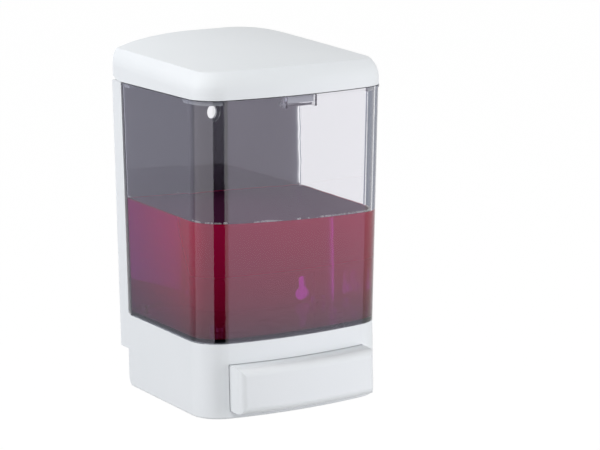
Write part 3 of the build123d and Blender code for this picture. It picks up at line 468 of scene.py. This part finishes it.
def tank_outline(shape, inset, height):
    """Closed plan outline of the tank at a height, moved inwards: flat rear, round corners, bowed front."""
    rise = (height - TANK_FOOT) / (TANK_RIM - TANK_FOOT)
    half = FOOT_HALF + (RIM_HALF - FOOT_HALF) * rise - inset
    depth = FOOT_DEPTH + (RIM_DEPTH - FOOT_DEPTH) * rise - inset
    rear = TANK_REAR - inset
    rear_round = max(REAR_RADIUS - inset, 0.3)
    corner = CORNER_RADIUS - inset
    bow = BOW_RADIUS - inset
    corner_x = half - corner
    bow_y = bow - depth
    corner_y = bow_y - math.sqrt((bow - corner) ** 2 - corner_x ** 2)
    bow_angle = math.degrees(math.asin(corner_x / (bow - corner)))
    before = set(shape.edges)
    start = shape.verts.new(metres(rear_round - half, rear, height))
    last = run_to(shape, start, metres(half - rear_round, rear, height))
    rear_turn = rear - rear_round
    last = turn_about(shape, last, metres(half - rear_round, rear_turn, height), -90.0, REAR_STEPS)
    last = run_to(shape, last, metres(half, corner_y, height))
    last = turn_about(shape, last, metres(corner_x, corner_y, height), bow_angle - 90.0, CORNER_STEPS)
    last = turn_about(shape, last, metres(0.0, bow_y, height), -2.0 * bow_angle, BOW_STEPS)
    last = turn_about(shape, last, metres(-corner_x, corner_y, height), bow_angle - 90.0, CORNER_STEPS)
    last = run_to(shape, last, metres(-half, rear_turn, height))
    last = turn_about(shape, last, metres(rear_round - half, rear_turn, height), -90.0, REAR_STEPS)
    bmesh.ops.pointmerge(shape, verts=[start, last], merge_co=start.co)
    return [edge for edge in shape.edges if edge not in before]


def lean(shape, corners):
    """Lay the corners of the soap's surface at the slant that it has in the photograph."""
    slant = Matrix.Identity(4)
    slant[2] = (-SOAP_FALL_RIGHT, SOAP_FALL_FRONT, 1.0, -SOAP_FALL_FRONT * SOAP_MIDDLE * 0.001)
    bmesh.ops.transform(shape, matrix=slant, verts=list(corners))


def make_soap(material):
    """Soap that fills the tank to its level, with an edge that climbs the walls a little."""
    shape = bmesh.new()
    wall = TANK_WALL - SOAP_OVERLAP
    rows = [tank_outline(shape, wall, TANK_FOOT + TANK_FLOOR - SOAP_OVERLAP)]
    for inset, climb in MENISCUS:
        rows.append(tank_outline(shape, wall + inset, SOAP_LEVEL + climb))
    for low, high in zip(rows, rows[1:]):
        bmesh.ops.bridge_loops(shape, edges=low + high)
    bmesh.ops.edgeloop_fill(shape, edges=rows[0])
    bmesh.ops.edgeloop_fill(shape, edges=rows[-1])
    bmesh.ops.recalc_face_normals(shape, faces=shape.faces)
    for face in shape.faces:
        face.smooth = len(face.verts) == 4
    mark = shape.verts.layers.float.new(WALL_MARK)
    for edge in rows[0] + rows[1]:
        edge.smooth = False
        for corner in edge.verts:
            corner[mark] = REAR_MARK if corner.co.y > SOAP_MIDDLE * 0.001 else FRONT_MARK
    lean(shape, {corner for row in rows[1:] for edge in row for corner in edge.verts})
    return new_piece("liquid_soap", shape, material)


def make_foam(material):
    """Clusters of small bubbles that float against the walls round the soap's edge."""
    chance = random.Random(FOAM_SEED)
    shape = bmesh.new()
    edge = bmesh.new()
    tank_outline(edge, TANK_WALL + FOAM_WALL_GAP, SOAP_LEVEL + FOAM_CLIMB)
    bmesh.ops.subdivide_edges(edge, edges=edge.edges, cuts=6)
    places = [corner.co.copy() for corner in edge.verts]
    edge.free()
    for _ in range(FOAM_CLUSTERS):
        middle = chance.choice(places)
        near = [place for place in places if (place - middle).length < FOAM_SPREAD * 0.001]
        for _ in range(chance.randint(2, FOAM_PER_CLUSTER)):
            radius = chance.uniform(FOAM_SMALL, FOAM_LARGE)
            aside = chance.uniform(-FOAM_DRIFT, FOAM_DRIFT)
            drift = metres(aside, chance.uniform(-FOAM_DRIFT, FOAM_DRIFT), radius * FOAM_FLOAT)
            bmesh.ops.create_icosphere(
                shape, subdivisions=2, radius=radius * 0.001,
                matrix=Matrix.Translation(chance.choice(near) + drift),
            )
    lean(shape, shape.verts)
    for face in shape.faces:
        face.smooth = True
    return new_piece("soap_foam", shape, material)


def make_spring(material):
    """Coil of round wire between the rod guide and the inside of the push bar."""
    low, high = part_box("return_spring")
    first = low[1] * 1000.0 + SPRING_WIRE
    pitch = ((high[1] - low[1]) * 1000.0 - 2.0 * SPRING_WIRE) / SPRING_TURNS
    shape = bmesh.new()
    across = Matrix.Translation(metres(SPRING_RADIUS, first, PUMP_AXIS))
    wire = bmesh.ops.create_circle(shape, segments=WIRE_SIDES, radius=SPRING_WIRE * 0.001, matrix=across)
    start = list({edge for corner in wire["verts"] for edge in corner.link_edges})
    coil = bmesh.ops.spin(
        shape, geom=wire["verts"] + start, cent=metres(0.0, first, PUMP_AXIS), axis=(0, 1, 0),
        dvec=metres(0.0, pitch / SPRING_STEPS, 0.0), angle=math.radians(360.0 * SPRING_TURNS),
        steps=SPRING_STEPS * SPRING_TURNS,
    )
    ends = [part for part in coil["geom_last"] if isinstance(part, bmesh.types.BMEdge)]
    bmesh.ops.edgeloop_fill(shape, edges=start)
    bmesh.ops.edgeloop_fill(shape, edges=ends)
    bmesh.ops.recalc_face_normals(shape, faces=shape.faces)
    for face in shape.faces:
        face.smooth = len(face.verts) == 4
    piece = new_piece("return_spring_coil", shape, material)
    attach(piece, "body")
    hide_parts("return_spring")
    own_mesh(piece)


def seen_by_eye(tree):
    """Share of rays that show a surface to the camera, directly or by way of gloss and glass."""
    path = add(tree, "ShaderNodeLightPath")
    shown = add(
        tree, "ShaderNodeMath",
        {0: path.outputs["Is Glossy Ray"], 1: path.outputs["Is Transmission Ray"]}, operation="MAXIMUM",
    )
    straight = add(
        tree, "ShaderNodeMath", {0: path.outputs["Diffuse Depth"], 1: 0.5}, operation="LESS_THAN",
    )
    mirrored = add(
        tree, "ShaderNodeMath",
        {0: shown.outputs["Value"], 1: straight.outputs["Value"]}, operation="MULTIPLY",
    )
    either = add(
        tree, "ShaderNodeMath",
        {0: path.outputs["Is Camera Ray"], 1: mirrored.outputs["Value"]}, operation="MAXIMUM",
    )
    return path, either.outputs["Value"]


def make_card(name, shade, start, end, x, y, kept):
    """Upright curved card that shows only in reflections or through the tank."""
    material, tree = new_material(name + ", matt paper")
    paper = add(tree, "ShaderNodeEmission", {"Color": colour(shade)})
    finish_material(tree, paper.outputs["Emission"])
    shape = bmesh.new()
    angle = math.radians(start)
    edge_x = x + CARD_RADIUS * math.sin(angle)
    edge_y = y - CARD_RADIUS * math.cos(angle)
    foot = shape.verts.new(metres(edge_x, edge_y, CARD_LOW))
    head = run_to(shape, foot, metres(edge_x, edge_y, CARD_HIGH))
    bmesh.ops.spin(
        shape, geom=[foot, head, foot.link_edges[0]], cent=metres(x, y, 0.0), axis=(0, 0, 1),
        angle=math.radians(end - start), steps=CARD_STEPS,
    )
    card = new_piece(name, shape, material)
    for ray in ("camera", "diffuse", "glossy", "transmission", "shadow"):
        setattr(card, "visible_" + ray, ray in kept)


def make_studio():
    """Pale floor, white surround, cards that the tank mirrors, and softboxes."""
    material, tree = new_material("studio floor, matt white")
    path, shown = seen_by_eye(tree)
    paper = add(tree, "ShaderNodeBsdfDiffuse", {"Color": colour("#BEBEBE")})
    white = add(tree, "ShaderNodeEmission", {"Color": colour("#FFFFFF"), "Strength": FLOOR_WHITE})
    fill = add(tree, "ShaderNodeMath", {0: shown, 1: FLOOR_FILL}, operation="MULTIPLY")
    surface = add(
        tree, "ShaderNodeMixShader",
        {"Fac": fill.outputs["Value"], 1: paper.outputs["BSDF"], 2: white.outputs["Emission"]},
    )
    finish_material(tree, surface.outputs["Shader"])
    shape = bmesh.new()
    level = Matrix.Translation(metres(0.0, 0.0, BASE_UNDER - FLOOR_DROP))
    bmesh.ops.create_grid(shape, x_segments=1, y_segments=1, size=FLOOR_SIZE * 0.0005, matrix=level)
    floor = new_piece("studio_floor", shape, material)
    floor.visible_transmission = False

    for card in CARDS:
        make_card(*card)

    world = bpy.data.worlds.new("white surround")
    world.use_nodes = True
    tree = world.node_tree
    tree.nodes.clear()
    path, shown = seen_by_eye(tree)
    # light that reaches a shaded face through a wall of the tank is dimmed by the smoke
    behind = add(
        tree, "ShaderNodeMapRange",
        {"Value": path.outputs["Is Transmission Ray"], "To Min": AMBIENT, "To Max": AMBIENT * BEHIND_SMOKE},
    )
    # so is light that the rear wall of the tank throws back out through the front
    far = add(
        tree, "ShaderNodeMath", {0: path.outputs["Transmission Depth"], 1: 2.5}, operation="GREATER_THAN",
    )
    turned = add(
        tree, "ShaderNodeMath",
        {0: path.outputs["Glossy Depth"], 1: far.outputs["Value"]}, operation="MULTIPLY",
    )
    lift = add(
        tree, "ShaderNodeMapRange",
        {"Value": path.outputs["Is Transmission Ray"], "To Min": 1.0, "To Max": SURROUND_LIFT},
    )
    through = add(
        tree, "ShaderNodeMapRange",
        {"Value": turned.outputs["Value"], "To Min": lift.outputs["Result"], "To Max": THROWN_BACK},
    )
    strength = add(
        tree, "ShaderNodeMix",
        {"Factor": shown, "A": behind.outputs["Result"], "B": through.outputs["Result"]}, data_type="FLOAT",
    )
    sky = add(
        tree, "ShaderNodeBackground", {"Color": colour("#FFFFFF"), "Strength": strength.outputs["Result"]},
    )
    add(tree, "ShaderNodeOutputWorld", {"Surface": sky.outputs["Background"]})
    bpy.context.scene.world = world

    for name, turn, rise, reach, width, height, shade, power, rays in SOFTBOXES:
        lamp = bpy.data.lights.new(name, "AREA")
        lamp.shape = "RECTANGLE"
        lamp.size = width * 0.001
        lamp.size_y = height * 0.001
        lamp.color = colour(shade)[:3]
        lamp.energy = power
        holder = bpy.data.objects.new(name, lamp)
        around = math.radians(turn)
        up = math.radians(rise)
        back = Vector((math.sin(around) * math.cos(up), -math.cos(around) * math.cos(up), math.sin(up)))
        holder.matrix_world = aim(metres(*LAMP_TARGET) + back * reach * 0.001, back, 0.0)
        for ray in ("camera", "diffuse", "glossy", "transmission"):
            setattr(holder, "visible_" + ray, ray in rays)
        bpy.context.scene.collection.objects.link(holder)


def aim(place, back, roll):
    """Placement of a camera or lamp that looks against a direction, turned about it by a roll."""
    right = Vector((0, 0, 1)).cross(back).normalized()
    up = back.cross(right)
    turn = Matrix.Rotation(roll, 3, back)
    axes = Matrix((turn @ right, turn @ up, back)).transposed()
    return Matrix.Translation(place) @ axes.to_4x4()


def make_camera():
    """Camera at the photograph's place."""
    data = bpy.data.cameras.new("photo_camera")
    data.lens = CAMERA_LENS
    data.sensor_width = SENSOR_WIDTH
    data.clip_end = 20.0
    camera = bpy.data.objects.new("photo_camera", data)
    back = (Vector(CAMERA_PLACE) - Vector(CAMERA_TARGET)).normalized()
    camera.matrix_world = aim(metres(*CAMERA_PLACE), back, math.radians(CAMERA_ROLL))
    bpy.context.scene.collection.objects.link(camera)
    bpy.context.scene.camera = camera


# skin of a satin tool is under 0.1 mm, so its grain is drawn 1.4 mm wide to show
white_abs = moulded_plastic("white ABS, satin moulded", "#E5E8EB", "#E1E5E8", 0.5, 1.4, 0.02)
acetal = moulded_plastic("white acetal, moulded", "#E6E5DE", "#DCDBD3", 0.42, 1.8, 0.03)
rubber = moulded_plastic("black nitrile rubber, moulded", "#26262A", "#1B1B1E", 0.62, 1.2, 0.05)
silicone = moulded_plastic("milky silicone, moulded", "#D9DAD6", "#CFD0CB", 0.5, 1.6, 0.04)
steel = drawn_steel()
finishes = {
    "white_abs": white_abs,
    "smoked_clear": smoked_san(),
    "white_acetal": acetal,
    "black_rubber": rubber,
    "silicone": silicone,
    "steel": steel,
}
for part in frame["record"]["subparts"]:
    node = frame["nodes"][part["node"]]
    node.data.materials.clear()
    node.data.materials.append(finishes[part["material_slot"]])

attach(make_soap(red_soap()), "body")
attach(make_foam(soap_film()), "body")
make_spring(steel)
make_studio()
make_camera()
bpy.context.scene.view_settings.view_transform = "Standard"
